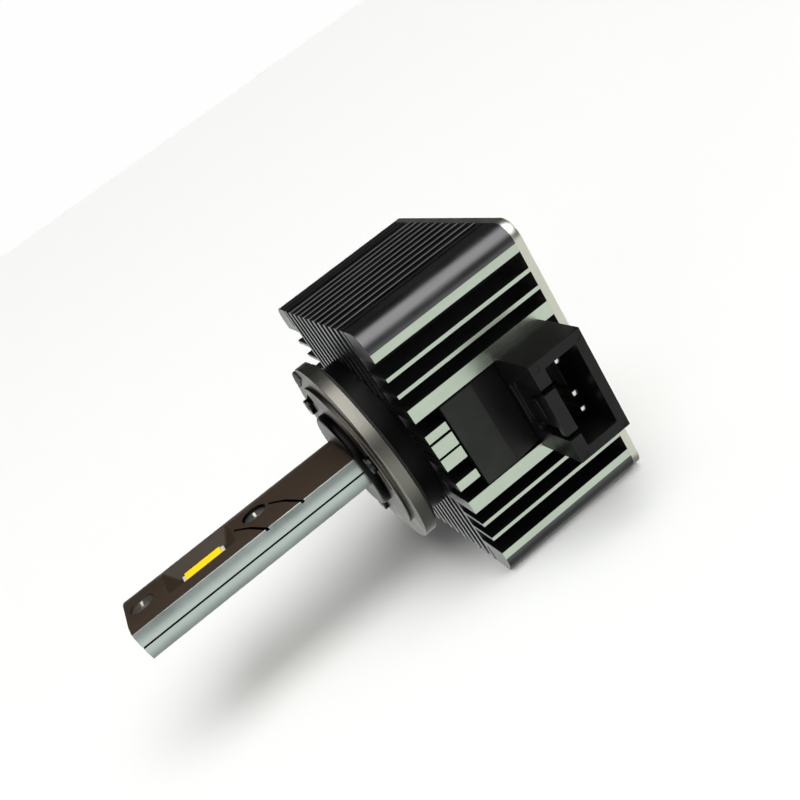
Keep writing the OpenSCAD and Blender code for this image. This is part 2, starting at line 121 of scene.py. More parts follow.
# %% [markdown]
# Dark metal is all reflection: its look is made by what stands around it. A broad bright ceiling
# draws the long highlight on the rounded corner of the housing, the pale floor lights the socket
# side from below, and the walls are kept dark so that the flat top faces stay dark. The world could
# be a picture of a studio. A few gradients do the same and need no file. A wide sun brings the paper
# to white, and reflections do not see it. Reflections see instead a glow painted onto the paper,
# bright at a shallow angle and dim straight below: a painted reflection that gives the round sides
# of the stem their shade.

# %% Floor
FLOOR_SIZE = 6.0
floor_mesh = bpy.data.meshes.new("floor")
floor_z = cad_box[0].z - 0.02 * MM
corners = [(x * FLOOR_SIZE, y * FLOOR_SIZE, floor_z) for x, y in ((-1, -1), (1, -1), (1, 1), (-1, 1))]
floor_mesh.from_pydata(corners, [], [(0, 1, 2, 3)])
floor = bpy.data.objects.new("floor", floor_mesh)
scene.collection.objects.link(floor)

floor_paint = bpy.data.materials.new("matt white paper with painted reflection glow")
floor_paint.use_nodes = True
tree = floor_paint.node_tree
tree.nodes.clear()
place = add(tree, "ShaderNodeTexCoord")
fibre = add(tree, "ShaderNodeTexNoise", {"Vector": place.outputs["Object"], "Scale": 900.0})
press = add(tree, "ShaderNodeBump", {"Height": fibre.outputs["Fac"], "Strength": 0.05, "Distance": 0.0001})
paper = add(tree, "ShaderNodeBsdfPrincipled",
            {"Base Color": linear("#F6F6F5"), "Roughness": 0.9, "Normal": press.outputs["Normal"]})
# Glossy rays see a painted reflection: the paper glows, bright at a shallow angle and dim straight below.
ray = add(tree, "ShaderNodeNewGeometry")
steep = add(tree, "ShaderNodeSeparateXYZ", {"Vector": ray.outputs["Incoming"]})
painted_reflection_strength = add(tree, "ShaderNodeMapRange", {"Value": steep.outputs["Z"], "From Min": 0.54, "From Max": 0.94,
                                        "To Min": 1.12, "To Max": 0.28}, interpolation_type="SMOOTHSTEP")
painted_reflection_glow = add(tree, "ShaderNodeEmission", {"Color": linear("#FAFEFA"), "Strength": painted_reflection_strength.outputs["Result"]})
bounce = add(tree, "ShaderNodeLightPath")
floor_look = add(tree, "ShaderNodeMixShader", {0: bounce.outputs["Is Glossy Ray"], 1: paper.outputs["BSDF"],
                                               2: painted_reflection_glow.outputs[0]})
add(tree, "ShaderNodeOutputMaterial", {"Surface": floor_look.outputs[0]})
floor_mesh.materials.append(floor_paint)

# %% World: pale where the camera looks, a dark room with a bright ceiling in the reflections
CEILING = Vector((0.12, -0.38, 0.92)).normalized()
world = bpy.data.worlds.new("soft studio")
scene.world = world
world.use_nodes = True
tree = world.node_tree
tree.nodes.clear()
direction = add(tree, "ShaderNodeTexCoord").outputs["Generated"]
axes = add(tree, "ShaderNodeSeparateXYZ", {"Vector": direction})
walls = add(tree, "ShaderNodeMapRange", {"Value": axes.outputs["Y"], "From Min": -0.9, "From Max": 0.5,
                                         "To Min": 0.16, "To Max": 0.04}, interpolation_type="SMOOTHSTEP")
toward = add(tree, "ShaderNodeVectorMath", {0: direction, 1: CEILING}, operation="DOT_PRODUCT")
ceiling = add(tree, "ShaderNodeMapRange",
              {"Value": toward.outputs["Value"], "From Min": 0.78, "From Max": 0.90,
               "To Min": 0.0, "To Max": 3.0}, interpolation_type="SMOOTHSTEP")
room = add(tree, "ShaderNodeMath", {0: walls.outputs["Result"], 1: ceiling.outputs["Result"]},
           operation="ADD")
dark = add(tree, "ShaderNodeBackground", {"Color": linear("#FEFFFD"), "Strength": room.outputs[0]})
pale = add(tree, "ShaderNodeBackground", {"Color": linear("#FEFEFE"), "Strength": 1.0})
seen = add(tree, "ShaderNodeLightPath")
both = add(tree, "ShaderNodeMixShader",
           {0: seen.outputs["Is Camera Ray"], 1: dark.outputs[0], 2: pale.outputs[0]})
add(tree, "ShaderNodeOutputWorld", {"Surface": both.outputs[0]})

# %% Wide sun for the floor
SUN_STRENGTH = 0.62
SUN_SPREAD_DEG = 100
sun_light = bpy.data.lights.new("wide_sun", "SUN")
sun_light.energy = SUN_STRENGTH
sun_light.angle = math.radians(SUN_SPREAD_DEG)
wide_sun = bpy.data.objects.new("wide_sun", sun_light)
wide_sun.visible_glossy = False
scene.collection.objects.link(wide_sun)


# %% Soft panel
def soft_panel(name, place, aim, size, watts, colour):
    """A rectangular lamp that looks from place at aim."""
    lamp = bpy.data.lights.new(name, "AREA")
    lamp.shape = "RECTANGLE"
    lamp.size, lamp.size_y = size
    lamp.energy = watts
    lamp.color = linear(colour)[:3]
    holder = bpy.data.objects.new(name, lamp)
    holder.location = place
    holder.rotation_euler = (Vector(aim) - Vector(place)).to_track_quat("-Z", "Y").to_euler()
    scene.collection.objects.link(holder)
    print(name, "is", round((Vector(aim) - Vector(place)).length, 2), "m from what it lights")


soft_panel("panel_front", (-0.50, -0.40, 0.22), (-0.02, 0, 0), (0.25, 0.40), 0.5, "#F6FBFF")

# %% [markdown]
# ## Metals
# Nearly everything here is aluminium. Black anodising is a thin dyed glass-like layer grown on the
# metal, so it shines like metal but gives back only a part of the light.
# Extruded profiles keep fine lines along their length from the die, and a milled face shows the
# cutter's paths. Both are far under a millimetre, so they are drawn as stretched noise that tilts
# the surface a little and varies its gloss. A highlight is painted along sharp edges: the pieces
# carry an "edge" value on their rounded edges, and the metal is mixed there, in patches, toward a
# lighter colour.

# %% Metal finish
def metal(name, colour, edge_highlight, roughness, line_mm, stretch, depth_mm, patch_mm=5.0, along="X"):
    """A metal with lines that are line_mm apart and stretch times as long, and patches of gloss."""
    made = bpy.data.materials.new(name)
    made.use_nodes = True
    tree = made.node_tree
    tree.nodes.clear()
    place = add(tree, "ShaderNodeTexCoord").outputs["Object"]
    across = 1 / (line_mm * MM)
    scales = [across / stretch if axis == along else across for axis in "XYZ"]
    lines_place = add(tree, "ShaderNodeMapping", {"Vector": place, "Scale": scales})
    lines = add(tree, "ShaderNodeTexNoise", {"Vector": lines_place.outputs[0], "Scale": 1.0, "Detail": 2.0})
    patches = add(tree, "ShaderNodeTexNoise", {"Vector": place, "Scale": 1 / (patch_mm * MM), "Detail": 5.0})
    gloss = add(tree, "ShaderNodeMath", {0: lines.outputs["Fac"], 1: patches.outputs["Fac"]}, operation="ADD")
    rough = add(tree, "ShaderNodeMapRange", {"Value": gloss.outputs[0], "From Min": 0.6, "From Max": 1.4,
                                             "To Min": roughness * 0.75, "To Max": roughness * 1.3})
    deep = [0.72 * part for part in linear(colour)[:3]] + [1]
    tone = add(tree, "ShaderNodeMix", {"Factor": patches.outputs["Fac"], "A": deep, "B": linear(colour)},
               data_type="RGBA")
    # Sharp edges are mixed in patches toward a lighter colour: a painted highlight.
    edge = add(tree, "ShaderNodeAttribute", attribute_name="edge")
    patchy_edge_highlight = add(tree, "ShaderNodeMapRange", {"Value": patches.outputs["Fac"], "From Min": 0.35,
                                              "From Max": 0.65, "To Min": 0.15, "To Max": 0.75})
    edge_highlight_share = add(tree, "ShaderNodeMath", {0: edge.outputs["Fac"], 1: patchy_edge_highlight.outputs["Result"]},
               operation="MULTIPLY")
    edge_highlight_tone = add(tree, "ShaderNodeMix", {"Factor": edge_highlight_share.outputs[0], "A": tone.outputs["Result"],
                                            "B": linear(edge_highlight)}, data_type="RGBA")
    bump = add(tree, "ShaderNodeBump", {"Height": lines.outputs["Fac"], "Strength": 0.35,
                                        "Distance": depth_mm * MM})
    shader = add(tree, "ShaderNodeBsdfPrincipled", {
        "Base Color": edge_highlight_tone.outputs["Result"], "Metallic": 1.0,
        "Roughness": rough.outputs["Result"], "Normal": bump.outputs["Normal"]})
    add(tree, "ShaderNodeOutputMaterial", {"Surface": shader.outputs["BSDF"]})
    return made


# %% The metals of this bulb
stock = len(bpy.data.materials)
black_anodised = metal("black_anodised_aluminium_extruded", "#626163", "#8A898B", 0.34, 0.12, 60, 0.004)
# The same black is also painted into the stem's recesses as shade.
black_turned_and_recess_shade = metal("black_anodised_aluminium_turned_and_painted_recess_shade", "#1E1D1D", "#474544", 0.40, 0.10, 1, 0.003)
flange_anodised = metal("dark_bronze_anodised_aluminium_turned", "#4B453F", "#8A8680", 0.38, 0.10, 1, 0.003)
# The rim is a lighter copy of the bronze anodising: a painted highlight round the ring's edge.
rim_painted_highlight = metal("bronze_anodised_aluminium_turned_rim_painted_highlight", "#817E77", "#A09D95", 0.34, 0.10, 20, 0.004,
                  along="Z")
silver_blasted = metal("clear_anodised_aluminium_bead_blasted", "#CCD6D3", "#E2E8E6", 0.36, 0.09, 2, 0.003)
bare = metal("bare_aluminium_milled", "#C6D0C1", "#E8ECE2", 0.30, 0.16, 25, 0.006)
bare_plate = metal("bare_aluminium_sheet_rolled", "#D8D5C9", "#F0EEE6", 0.33, 0.20, 12, 0.005, along="Z")
nickel = metal("nickel_plated_steel_screw", "#D6D4CF", "#F4F2EE", 0.36, 0.15, 1, 0.003, patch_mm=1.2)
black_steel = metal("black_oxide_steel_screw", "#3A393B", "#77757A", 0.32, 0.15, 1, 0.003, patch_mm=1.5)
copper = metal("copper_core_sheet_rolled", "#C98A5A", "#E0A982", 0.30, 0.20, 10, 0.003)
brass = metal("tin_plated_brass_pin", "#E4E2DA", "#F6F4EE", 0.16, 0.10, 8, 0.002, patch_mm=1.0)
bronze = metal("sintered_bronze_bearing", "#A98649", "#C9A969", 0.42, 0.08, 1, 0.006, patch_mm=0.8)
print("Metals made:", len(bpy.data.materials) - stock)

# %% [markdown]
# ## Plastics, rubber and the rest
# The socket is moulded in glass-filled PA66 nylon. Its mould was spark eroded, which leaves a fine
# pebbled skin that scatters light and hides sink marks, while the walls that slide along a plug are
# left smooth. Rubber is duller still. The ceramic, the board's resin and the light chip's silicone
# are all non-metals, so one builder makes them all: a colour with soft patches, a pebbled bump and
# a varying gloss. The stem's brown flats are made here too: they are metal underneath, but their
# dyed and blasted skin scatters light more than it mirrors it.

# %% Non-metal finish
def non_metal(name, colour, second, roughness, pebble_mm, depth_mm, strength=0.5, ior=1.5, patch_mm=3.0,
              specular=0.5, painted_glow=0.0):
    """A plastic, rubber, resin or ceramic with pebbles pebble_mm wide and depth_mm high."""
    made = bpy.data.materials.new(name)
    made.use_nodes = True
    tree = made.node_tree
    tree.nodes.clear()
    place = add(tree, "ShaderNodeTexCoord").outputs["Object"]
    pebbles = add(tree, "ShaderNodeTexVoronoi", {"Vector": place, "Scale": 1 / (pebble_mm * MM)},
                  feature="SMOOTH_F1")
    dust = add(tree, "ShaderNodeTexNoise",
               {"Vector": place, "Scale": 1 / (pebble_mm * 0.4 * MM), "Detail": 3.0})
    relief = add(tree, "ShaderNodeMath", {0: pebbles.outputs["Distance"], 1: dust.outputs["Fac"]},
                 operation="ADD")
    patches = add(tree, "ShaderNodeTexNoise", {"Vector": place, "Scale": 1 / (patch_mm * MM), "Detail": 4.0})
    tone = add(tree, "ShaderNodeMix", {"Factor": patches.outputs["Fac"], "A": linear(colour),
                                       "B": linear(second)}, data_type="RGBA")
    edge = add(tree, "ShaderNodeAttribute", attribute_name="edge")
    shine = add(tree, "ShaderNodeMath", {0: edge.outputs["Fac"], 1: -0.1}, operation="MULTIPLY")
    rough = add(tree, "ShaderNodeMapRange",
                {"Value": patches.outputs["Fac"], "From Min": 0.3, "From Max": 0.7,
                 "To Min": roughness * 0.85, "To Max": roughness * 1.15})
    gloss = add(tree, "ShaderNodeMath", {0: rough.outputs["Result"], 1: shine.outputs[0]}, operation="ADD")
    bump = add(tree, "ShaderNodeBump", {"Height": relief.outputs[0], "Strength": strength,
                                        "Distance": depth_mm * MM})
    values = {"Base Color": tone.outputs["Result"], "Roughness": gloss.outputs[0], "IOR": ior,
              "Specular IOR Level": specular, "Normal": bump.outputs["Normal"]}
    # A painted glow: the surface gives off its own colour as light.
    if painted_glow:
        values["Emission Color"] = linear(colour)
        values["Emission Strength"] = painted_glow
    shader = add(tree, "ShaderNodeBsdfPrincipled", values)
    add(tree, "ShaderNodeOutputMaterial", {"Surface": shader.outputs["BSDF"]})
    return made


stock = len(bpy.data.materials)
brown_flat = non_metal("brown_anodised_aluminium_bead_blasted", "#3B3026", "#352A21", 0.50, 0.12, 0.004,
                       specular=0.25, patch_mm=6.0)
nylon = non_metal("black_PA66_nylon_moulded", "#0E0E0E", "#0B0B0B", 0.40, 0.20, 0.004, specular=0.25)
nylon_textured = non_metal("black_PA66_nylon_spark_eroded", "#262824", "#1F211E", 0.62, 0.38, 0.03,
                           strength=0.9, specular=0.3)
fan_plastic = non_metal("black_PBT_fan_moulded", "#222224", "#1B1B1D", 0.38, 0.25, 0.004)
rubber = non_metal("black_silicone_rubber", "#161616", "#1E1D1C", 0.62, 0.15, 0.006)
ceramic = non_metal("aluminium_nitride_ceramic", "#DDD3C7", "#CFC4B6", 0.45, 0.10, 0.004)
# The phosphor emits a faint painted glow of its own colour, though the chip is not lit.
phosphor = non_metal("yellow_phosphor_silicone", "#FFE21C", "#FFD800", 0.38, 0.12, 0.010,
                     strength=0.6, painted_glow=0.10)
black_mask = non_metal("black_solder_mask", "#232223", "#1C1B1C", 0.34, 0.40, 0.004, specular=0.6)
board_resin = non_metal("green_solder_mask", "#1E5A38", "#174A2D", 0.30, 0.40, 0.004, specular=0.6)
ferrite = non_metal("grey_ferrite", "#4A4A4D", "#3C3C3F", 0.55, 0.12, 0.010)
can_sleeve = non_metal("blue_capacitor_sleeve", "#2B3A66", "#243158", 0.34, 0.50, 0.004)
epoxy = non_metal("black_epoxy_chip", "#1E1E20", "#17171A", 0.55, 0.10, 0.006)
gap_pad = non_metal("grey_blue_thermal_silicone", "#8FA3B5", "#7F93A6", 0.75, 0.25, 0.02)
magnet_resin = non_metal("bonded_ferrite_magnet", "#565452", "#4A4846", 0.50, 0.15, 0.008)
print("Non-metals made:", len(bpy.data.materials) - stock)

# %% [markdown]
# ## Rounding every edge
# No real edge is perfectly sharp. Machined aluminium is tumbled or brushed to a radius of about a
# tenth of a millimetre, and moulded plastic takes its radius from the mould. That thin rounded band
# is what catches the light and tells the eye that a thing is solid. A CAD mesh is a set of loose
# triangles, so a copy is merged, its flat faces are made whole again, and its sharp edges are
# rounded in mesh code. The new faces get the "edge" value that the metals read.

# %% Helpers for pieces
def link(name, mesh):
    piece = bpy.data.objects.new(name, mesh)
    scene.collection.objects.link(piece)
    return piece


def merged(node):
    """The node's mesh, merged to whole faces, as a bmesh."""
    work = bmesh.new()
    work.from_mesh(nodes[node].data)
    bmesh.ops.remove_doubles(work, verts=work.verts, dist=0.002 * MM)
    bmesh.ops.dissolve_degenerate(work, edges=work.edges, dist=0.001 * MM)
    bmesh.ops.dissolve_limit(work, angle_limit=math.radians(0.5), verts=work.verts, edges=work.edges)
    return work


def round_edges(work, radius_mm, over_deg=40, steps=2, only=None):
    """Rounds the sharp edges and marks the new faces with edge = 1."""
    mark = work.faces.layers.float.get("edge") or work.faces.layers.float.new("edge")
    sharp = [e for e in work.edges if len(e.link_faces) == 2 and e.calc_face_angle(0) > math.radians(over_deg)
             and (only is None or only(e))]
    made = bmesh.ops.bevel(work, geom=sharp, offset=radius_mm * MM, segments=steps, profile=0.5,
                           affect="EDGES", clamp_overlap=True, miter_outer="ARC")
    for face in made["faces"]:
        face[mark] = 1.0
    return len(made["faces"])


def to_piece(work, name, materials, smooth_deg=35):
    """Turns the bmesh into an object at the origin, smooth but for its sharp edges."""
    for face in work.faces:
        face.smooth = True
    for e in work.edges:
        e.smooth = len(e.link_faces) != 2 or e.calc_face_angle(0) < math.radians(smooth_deg)
    mesh = bpy.data.meshes.new(name)
    work.to_mesh(mesh)
    work.free()
    for material in materials:
        mesh.materials.append(material)
    return link(name, mesh)


def freeze(piece):
    """Makes the result of the modifiers the piece's own mesh."""
    result = bpy.data.meshes.new_from_object(piece.evaluated_get(bpy.context.evaluated_depsgraph_get()))
    piece.modifiers.clear()
    piece.data = result


def settle(piece, body, slot, *stands_for):
    """The piece rides on its body and stands for its CAD nodes, which are hidden; slot is not used.

    Normals are weighted by area first, so that a rounded edge does not shade the flat face beside it.
    """
    step = piece.modifiers.new("flat faces stay flat", "WEIGHTED_NORMAL")
    step.keep_sharp = True
    freeze(piece)
    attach(piece, body)
    if stands_for:
        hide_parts(*stands_for)
    print(piece.name, len(piece.data.polygons), "faces")


def cut(piece, tool, join=False):
    """Cuts the tool's shape out of the piece, or joins it on, and removes the tool."""
    step = piece.modifiers.new("cut", "BOOLEAN")
    step.operation = "UNION" if join else "DIFFERENCE"
    step.solver = "EXACT"
    step.object = tool
    freeze(piece)
    bpy.data.objects.remove(tool)


def box_tool(low, high):
    """A box in millimetres that cuts a piece."""
    work = bmesh.new()
    bmesh.ops.create_cube(work, size=1.0)
    for v in work.verts:
        v.co = Vector([(low[i] + high[i]) / 2 + v.co[i] * (high[i] - low[i]) for i in range(3)]) * MM
    mesh = bpy.data.meshes.new("tool")
    work.to_mesh(mesh)
    work.free()
    return link("tool", mesh)


def mm_box(node):
    """A CAD node's box in millimetres."""
    low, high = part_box(node)
    return low / MM, high / MM


# %% [markdown]
# ## Housing
# The housing is one aluminium extrusion, cut to length, anodised black, and then milled on its
# socket side, where the cutter leaves bare bright strips. Its ten thin blades on the top and on the
# bottom repeat a rule: one section, one pitch. So the copy of the CAD mesh gives the core and the
# corners, the blades are cut away from it, and a node tree grows them again with rounded tips, as
# the die makes them. The rounded tips draw one fine bright line along each blade.

# %% Core of the housing
body_low, body_high = mm_box("heatsink_body")
FIN_COUNT = 10
FIN_PITCH = 2.6
FIN_THICK = 0.95
CORE_TOP = 9.0
WEB_IN = (FIN_COUNT + 1) / 2 * FIN_PITCH - FIN_THICK / 2

work = merged("heatsink_body")
housing = to_piece(work, "housing", [black_anodised, bare])
for side in (-1, 1):
    low_z, high_z = sorted((side * CORE_TOP, side * (body_high.z + 1)))
    cut(housing, box_tool((body_low.x - 1, -WEB_IN, low_z), (body_high.x + 1, WEB_IN, high_z)))
work = bmesh.new()
work.from_mesh(housing.data)
bmesh.ops.remove_doubles(work, verts=work.verts, dist=0.002 * MM)
bmesh.ops.dissolve_limit(work, angle_limit=math.radians(0.5), verts=work.verts, edges=work.edges)
print("rounded", round_edges(work, 0.12), "edge faces")
bpy.data.objects.remove(housing)

# Milled faces: everything that lies in the plane of the socket side, short of the round corners
milled_y = body_low.y * MM
CORNER_START = 18.05
MILLED_WITHIN = 0.15
MILLED_FACING = -0.6
for face in work.faces:
    centre = face.calc_center_median()
    in_plane = abs(centre.y - milled_y) < MILLED_WITHIN * MM and face.normal.y < MILLED_FACING
    face.material_index = 1 if in_plane and abs(centre.z) < CORNER_START * MM else 0
housing = to_piece(work, "housing", [black_anodised, bare])
settle(housing, "bulb", "black_anodised_aluminium", "heatsink_body")


# %% [markdown]
# A node tree is a recipe that stays adjustable: named inputs for the sizes, one finished mesh out.
# Each tree below is run on an empty mesh or on a set of points, its result is kept as a plain mesh,
# and the modifier is thrown away.

# %% Helpers for node trees
def recipe(name, sockets):
    """A geometry tree with named inputs. Returns the tree, its input node and its output node."""
    made = bpy.data.node_groups.new(name, "GeometryNodeTree")
    for label, kind in sockets:
        made.interface.new_socket(label, in_out="INPUT", socket_type=kind)
    made.interface.new_socket("Geometry", in_out="OUTPUT", socket_type="NodeSocketGeometry")
    return made, add(made, "NodeGroupInput"), add(made, "NodeGroupOutput")


def close_recipe(made, out, geometry, material):
    """Ends a tree in Realize Instances and Set Material."""
    real = add(made, "GeometryNodeRealizeInstances", {"Geometry": geometry})
    painted = add(made, "GeometryNodeSetMaterial", {"Geometry": real.outputs[0], "Material": material})
    made.links.new(painted.outputs[0], out.inputs["Geometry"])


def run_recipe(name, made, values, start=None):
    """Runs a tree on a new object and keeps the plain mesh."""
    piece = link(name, start or bpy.data.meshes.new(name))
    step = piece.modifiers.new(made.name, "NODES")
    step.node_group = made
    sockets = {s.name: s.identifier for s in made.interface.items_tree if s.in_out == "INPUT"}
    for label, value in values.items():
        step[sockets[label]] = value
    freeze(piece)
    return piece


def shade(piece, over_deg=35):
    """Smooth shading, with sharp edges kept sharp, on a finished mesh."""
    work = bmesh.new()
    work.from_mesh(piece.data)
    bmesh.ops.remove_doubles(work, verts=work.verts, dist=0.0005 * MM)
    bmesh.ops.recalc_face_normals(work, faces=work.faces)
    for face in work.faces:
        face.smooth = True
    for e in work.edges:
        e.smooth = len(e.link_faces) != 2 or e.calc_face_angle(0) < math.radians(over_deg)
    work.to_mesh(piece.data)
    work.free()


# %% Cooling blades
fins, ins, out = recipe("cooling blades", [
    ("Geometry", "NodeSocketGeometry"), ("Count", "NodeSocketInt"), ("Pitch", "NodeSocketFloat"),
    ("Thickness", "NodeSocketFloat"), ("Height", "NodeSocketFloat"), ("Tip radius", "NodeSocketFloat"),
    ("Start", "NodeSocketVector"), ("End", "NodeSocketVector"), ("Material", "NodeSocketMaterial")])
section = add(fins, "GeometryNodeCurvePrimitiveQuadrilateral",
              {"Width": ins.outputs["Thickness"], "Height": ins.outputs["Height"]})
soft_section = add(fins, "GeometryNodeFilletCurve", {"Curve": section.outputs[0], "Count": 3,
                                                     "Radius": ins.outputs["Tip radius"]}, mode="POLY")
path = add(fins, "GeometryNodeCurvePrimitiveLine", {"Start": ins.outputs["Start"], "End": ins.outputs["End"]})
blade = add(fins, "GeometryNodeCurveToMesh",
            {"Curve": path.outputs[0], "Profile Curve": soft_section.outputs[0], "Fill Caps": True})
gaps = add(fins, "ShaderNodeMath", {0: ins.outputs["Count"], 1: 1.0}, operation="SUBTRACT")
span = add(fins, "ShaderNodeMath", {0: gaps.outputs[0], 1: ins.outputs["Pitch"]}, operation="MULTIPLY")
first = add(fins, "ShaderNodeMath", {0: span.outputs[0], 1: -0.5}, operation="MULTIPLY")
first_place = add(fins, "ShaderNodeCombineXYZ", {"Y": first.outputs[0]})
step_along = add(fins, "ShaderNodeCombineXYZ", {"Y": ins.outputs["Pitch"]})
row = add(fins, "GeometryNodeMeshLine",
          {"Count": ins.outputs["Count"], "Start Location": first_place.outputs[0],
           "Offset": step_along.outputs[0]})
rows = add(fins, "GeometryNodeInstanceOnPoints", {"Points": row.outputs[0], "Instance": blade.outputs[0]})
close_recipe(fins, out, rows.outputs[0], ins.outputs["Material"])

ROOT = 0.01
FIN_TIP = 0.12
for name, side in (("blades_top", 1), ("blades_bottom", -1)):
    height = body_high.z - CORE_TOP + ROOT
    middle = side * (body_high.z - height / 2) * MM
    blades = run_recipe(name, fins, {
        "Count": FIN_COUNT, "Pitch": FIN_PITCH * MM, "Thickness": FIN_THICK * MM, "Height": height * MM,
        "Tip radius": FIN_TIP * MM, "Start": (body_low.x * MM, 0, middle),
        "End": (body_high.x * MM, 0, middle), "Material": black_anodised})
    shade(blades)
    low, high = [Vector(c) for c in (blades.bound_box[0], blades.bound_box[6])]
    print(name, "box in mm", [round(v / MM, 2) for v in low], [round(v / MM, 2) for v in high])
    settle(blades, "bulb", "black_anodised_aluminium")


# %% [markdown]
# ## Stem
# Two long half rounds of aluminium clamp a flat copper-cored board between them, with a fine dark
# seam along both sides. Each half is milled from bar: a flat that falls a little toward its long
# edges, a pocket with sloping walls for the light chip, two recesses for screw heads and two
# diagonal grooves. A ball-nosed cutter leaves the pocket's corners round, so those four edges are
# rounded first, and wider than the rest.
# The flats and their pockets are dyed brown, and the round sides are left silver. Upright faces and
# groove floors by the inner screw are painted near black as shade.

# %% Stem halves
POCKET_ROUND = 0.9
POCKET_PAST_CHIP = 4
POCKET_HALF_WIDTH = 5
POCKET_LEAST_DEPTH = 1.2
STEM_HEAD_RADIUS = 2.0
SIDE_RADIUS = 6.3
GROOVE_FLOOR = 2.05
GROOVE_BACK = 4.0
GROOVE_REACH = 8.5
light_low, light_high = mm_box("led_chip_upper")
stem_low = mm_box("stem_half_upper")[0]
inner_screw_x = mm_box("stem_screws")[1].x - STEM_HEAD_RADIUS


def pocket_corner(edge):
    """True for the sloping edges in the corners of the light pocket."""
    a, b = [v.co / MM for v in edge.verts]
    near = all(light_low.x - POCKET_PAST_CHIP < p.x < light_high.x + POCKET_PAST_CHIP
               and abs(p.y) < POCKET_HALF_WIDTH for p in (a, b))
    return near and abs(a.z - b.z) > POCKET_LEAST_DEPTH


for name, node in (("stem_upper", "stem_half_upper"), ("stem_lower", "stem_half_lower")):
    work = merged(node)
    print(name, "pocket faces", round_edges(work, POCKET_ROUND, over_deg=30, steps=4, only=pocket_corner))
    mark = work.faces.layers.float.get("edge")
    for face in work.faces:
        face[mark] = 0.0
    round_edges(work, 0.10, over_deg=24)
    for face in work.faces:
        middle = face.calc_center_median() / MM
        at_tip = face.normal.x < -0.7 and middle.x < stem_low.x + 0.3
        on_side = math.hypot(middle.y, middle.z) > SIDE_RADIUS or at_tip
        by_screw = -GROOVE_BACK < middle.x - inner_screw_x < GROOVE_REACH
        on_floor = GROOVE_FLOOR - 0.1 < abs(middle.z) < GROOVE_FLOOR + 0.1
        # Upright faces and groove floors by the inner screw take the near-black finish: painted shade in the
        # recesses.
        painted_recess_shade = by_screw and (abs(face.normal.z) < 0.5 or on_floor)
        face.material_index = 0 if on_side else 2 if painted_recess_shade else 1
    half = to_piece(work, name, [silver_blasted, brown_flat, black_turned_and_recess_shade], smooth_deg=30)
    settle(half, "bulb", "gunmetal_aluminium", node)

# %% [markdown]
# ## Light chips
# Each side carries one flip-chip strip: a pale ceramic base, and over most of it a slab of silicone
# filled with yellow phosphor that turns the blue light white. The cream ends of the base stay bare.
# The board under it is copper for the heat, under a thin coat of black solder mask.

# %% Board and chips
work = merged("led_board")
round_edges(work, 0.08)
for face in work.faces:
    face.material_index = 1 if abs(face.normal.z) > 0.9 else 0
settle(to_piece(work, "core_board", [copper, black_mask]), "bulb", "copper", "led_board")

for name, node, material, slot, radius in (
        ("chip_base_upper", "led_chip_upper", ceramic, "ceramic", 0.04),
        ("chip_base_lower", "led_chip_lower", ceramic, "ceramic", 0.04),
        ("phosphor_upper", "led_phosphor_upper", phosphor, "phosphor", 0.07),
        ("phosphor_lower", "led_phosphor_lower", phosphor, "phosphor", 0.07)):
    work = merged(node)
    round_edges(work, radius, steps=3)
    settle(to_piece(work, name, [material]), "bulb", slot, node)

# %% [markdown]
# ## Base
# The base ring is turned from bar: a flat flange, a low step, three curved slots that let the bulb
# be turned level in the lamp, and a notch that holds a rubber key. Turning leaves fine rings. The
# hub behind the stem's foot and the collar are turned too, and a thin rubber ring seals the joint.

# %% Base ring: dark faces, and a rim painted lighter as a highlight
work = merged("base_flange")
round_edges(work, 0.18, steps=3)
RIM_BAND = 0.25
rim_radius = mm_box("base_flange")[1].z
for face in work.faces:
    middle = face.calc_center_median() / MM
    face.material_index = 1 if math.hypot(middle.y, middle.z) > rim_radius - RIM_BAND else 0
settle(to_piece(work, "base_ring", [flange_anodised, rim_painted_highlight]), "bulb", "gunmetal_aluminium", "base_flange")

# %% Hub, collar, seal and key
for name, node, material, slot, radius in (
        ("foot_hub", "stem_hub", black_turned_and_recess_shade, "gunmetal_aluminium", 0.10),
        ("collar", "mounting_collar", black_turned_and_recess_shade, "black_anodised_aluminium", 0.15),
        ("seal", "seal_ring", rubber, "black_rubber", 0.15),
        ("key", "locating_key", rubber, "black_rubber", 0.25)):
    work = merged(node)
    round_edges(work, radius, steps=3)
    settle(to_piece(work, name, [material]), "bulb", slot, node)

# %% [markdown]
# ## Socket
# The socket is one nylon moulding: a thin textured cover that lies in the housing's bay, a smooth
# ramp, and a rectangular tower with a latch tongue in its front wall. Round ejector pins push it
# out of the mould and leave a shallow disc in each corner of the rim.

# %% Socket tower
work = merged("connector_housing")
round_edges(work, 0.16)
socket = to_piece(work, "socket_tower", [nylon])
rim_low, rim_high = mm_box("connector_housing")
TOWER_FRONT = 19.0
EJECTOR_RADIUS = 0.52
EJECTOR_IN = 0.86
EJECTOR_DEPTH = 0.07
for x in (TOWER_FRONT + EJECTOR_IN, rim_high.x - EJECTOR_IN):
    for z in (rim_low.z + EJECTOR_IN, rim_high.z - EJECTOR_IN):
        work = bmesh.new()
        place = Matrix.Translation(Vector((x, rim_low.y, z)) * MM) @ Matrix.Rotation(math.pi / 2, 4, "X")
        bmesh.ops.create_cone(work, cap_ends=True, segments=24, radius1=EJECTOR_RADIUS * MM,
                              radius2=EJECTOR_RADIUS * MM, depth=2 * EJECTOR_DEPTH * MM, matrix=place)
        disc = bpy.data.meshes.new("disc")
        work.to_mesh(disc)
        work.free()
        cut(socket, link("disc", disc))
shade(socket)
settle(socket, "bulb", "black_nylon", "connector_housing")

